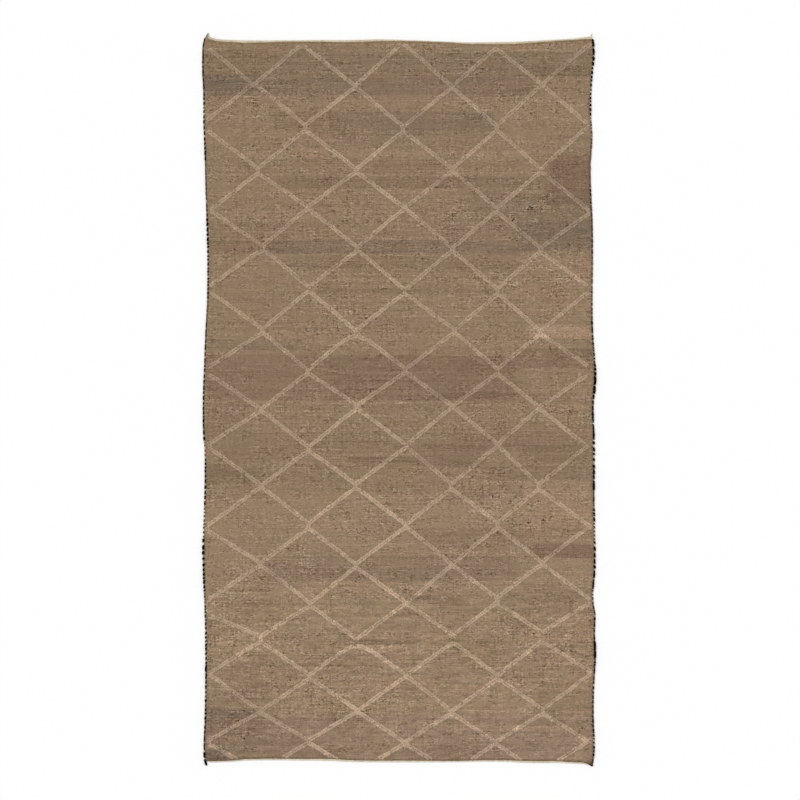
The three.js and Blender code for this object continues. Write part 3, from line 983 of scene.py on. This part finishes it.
# The warps of the tuft from left to right: their colour, and how many.
TUFT_WARPS = [("6E6052", 3), ("A89C92", 9), ("D5C6AE", 8)]
TUFT_SHADES = (0.8, 1.1)
TUFT_PAST = (4 * MM, 3 * MM)  # how far its root reaches past the CAD piece on the left and on the right
TIP_PLACE = 0.7  # how far across the CAD piece its point is
TIP_WIDTH = 3 * MM
TIP_LOOSE = 0.4 * MM
STRAND_SWAY = 0.8 * MM
# From the least to the most: how far a strand starts above the foot of the CAD piece and above the floor,
# how high its tip lies, and how far short of the head of the CAD piece it ends.
ROOT_START = (-2 * MM, 1 * MM)
ROOT_HEIGHT = (1.2 * MM, 4 * MM)
TIP_HEIGHT = (0.8 * MM, 1.6 * MM)
TIP_SHORT = (0.5 * MM, 5 * MM)
RIGHT_SHORTER = 12 * MM  # how much shorter still the last strand on the right can be


def strand_points(start, end, sway, count=STRAND_POINTS):
    """A path from start to end that sways out to its right on the way."""
    part = np.linspace(0, 1, count)[:, None]
    start, end = np.array(start), np.array(end)
    ahead = end - start
    right = np.array([ahead[1], -ahead[0], 0]) / np.hypot(*ahead[:2])
    return start + ahead * part + right * sway * np.sin(np.pi * part)


def join(name, strands, dyes, material, node):
    """Several strands as one piece that stands for a CAD node."""
    points = []
    faces = []
    shades = []
    for (strand, strand_faces), dye in zip(strands, dyes):
        first = sum(len(part) for part in points)
        points.append(strand)
        faces += [[first + corner for corner in face] for face in strand_faces]
        shades.append(np.broadcast_to(dye, (len(strand), 3)))
    piece = make_piece(name, np.concatenate(points), faces, np.concatenate(shades), None, material)
    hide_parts(node)
    return piece


def plies(start, end, sway, count, radius, twists, flatness=1.0):
    """Several plies twisted round each other from start to end, and each thinner towards its end."""
    path = strand_points(start, end, sway, PLY_POINTS)
    part = np.linspace(0, 1, PLY_POINTS)
    ahead = np.gradient(path, axis=0)
    right = np.stack([ahead[:, 1], -ahead[:, 0], 0 * part], axis=1)
    right /= np.linalg.norm(right, axis=1, keepdims=True)
    thin = (radius * (1 - PLY_TAPER * part**4))[:, None]
    strands = []
    for ply in range(count):
        turn = 2 * math.pi * (twists * part + ply / count)
        wound = path + radius * (np.cos(turn)[:, None] * right + np.sin(turn)[:, None] * (0, 0, flatness))
        strands.append(tube(wound, thin, thin * flatness, STRAND_SIDES))
    return strands


chance = np.random.default_rng(70)
low_corner, high_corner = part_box("tuft_top_left")
root_left = low_corner.x - TUFT_PAST[0]
root_right = high_corner.x + TUFT_PAST[1]
tip_x = low_corner.x + TIP_PLACE * (high_corner.x - low_corner.x)
tuft_colours = [linear(colour) for colour, count in TUFT_WARPS for _ in range(count)]
tuft = []
for part in np.linspace(0, 1, len(tuft_colours)):
    start = (
        root_left + part * (root_right - root_left),
        low_corner.y + chance.uniform(*ROOT_START),
        chance.uniform(*ROOT_HEIGHT),
    )
    end = (
        tip_x + (part - 0.5) * TIP_WIDTH + chance.normal(0, TIP_LOOSE),
        high_corner.y - chance.uniform(TIP_SHORT[0], TIP_SHORT[1] + RIGHT_SHORTER * part),
        chance.uniform(*TIP_HEIGHT),
    )
    path = strand_points(start, end, chance.normal(0, STRAND_SWAY))
    thin = STRAND_RADIUS * np.linspace(*STRAND_TAPER, len(path))[:, None]
    tuft.append(tube(path, thin, thin, STRAND_SIDES))
tuft_dyes = [colour * chance.uniform(*TUFT_SHADES) for colour in tuft_colours]
tuft_piece = join("tuft_top_left_warps", tuft, tuft_dyes, cream_wool, "tuft_top_left")

# The thread and the tail each run from one end of their CAD piece to the other.
low_corner, high_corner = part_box("thread_top_right")
thread = plies(
    (low_corner.x + 2.2 * MM, low_corner.y + 0.5 * MM, 1.5 * MM),
    (high_corner.x - 1.6 * MM, high_corner.y - 0.8 * MM, 1.3 * MM),
    1.2 * MM,
    count=2,
    radius=0.6 * MM,
    twists=2.2,
)
thread_dyes = [linear("C9BDB0"), linear("A99D92")]
thread_piece = join(
    "thread_top_right_twist", thread, thread_dyes, cream_wool, "thread_top_right"
)

low_corner, high_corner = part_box("yarn_end_bottom_left")
tail = plies(
    (low_corner.x + 3 * MM, high_corner.y + 1 * MM, 3 * MM),
    (high_corner.x - 3.6 * MM, low_corner.y + 1.4 * MM, 2.8 * MM),
    -1 * MM,
    count=4,
    radius=2.6 * MM,
    twists=1.2,
    flatness=0.5,
)
tail_dyes = [linear("150C06"), linear("1B120B"), linear("261A11"), linear("190F08")]
tail_piece = join(
    "yarn_end_bottom_left_tail", tail, tail_dyes, dark_yarn, "yarn_end_bottom_left"
)
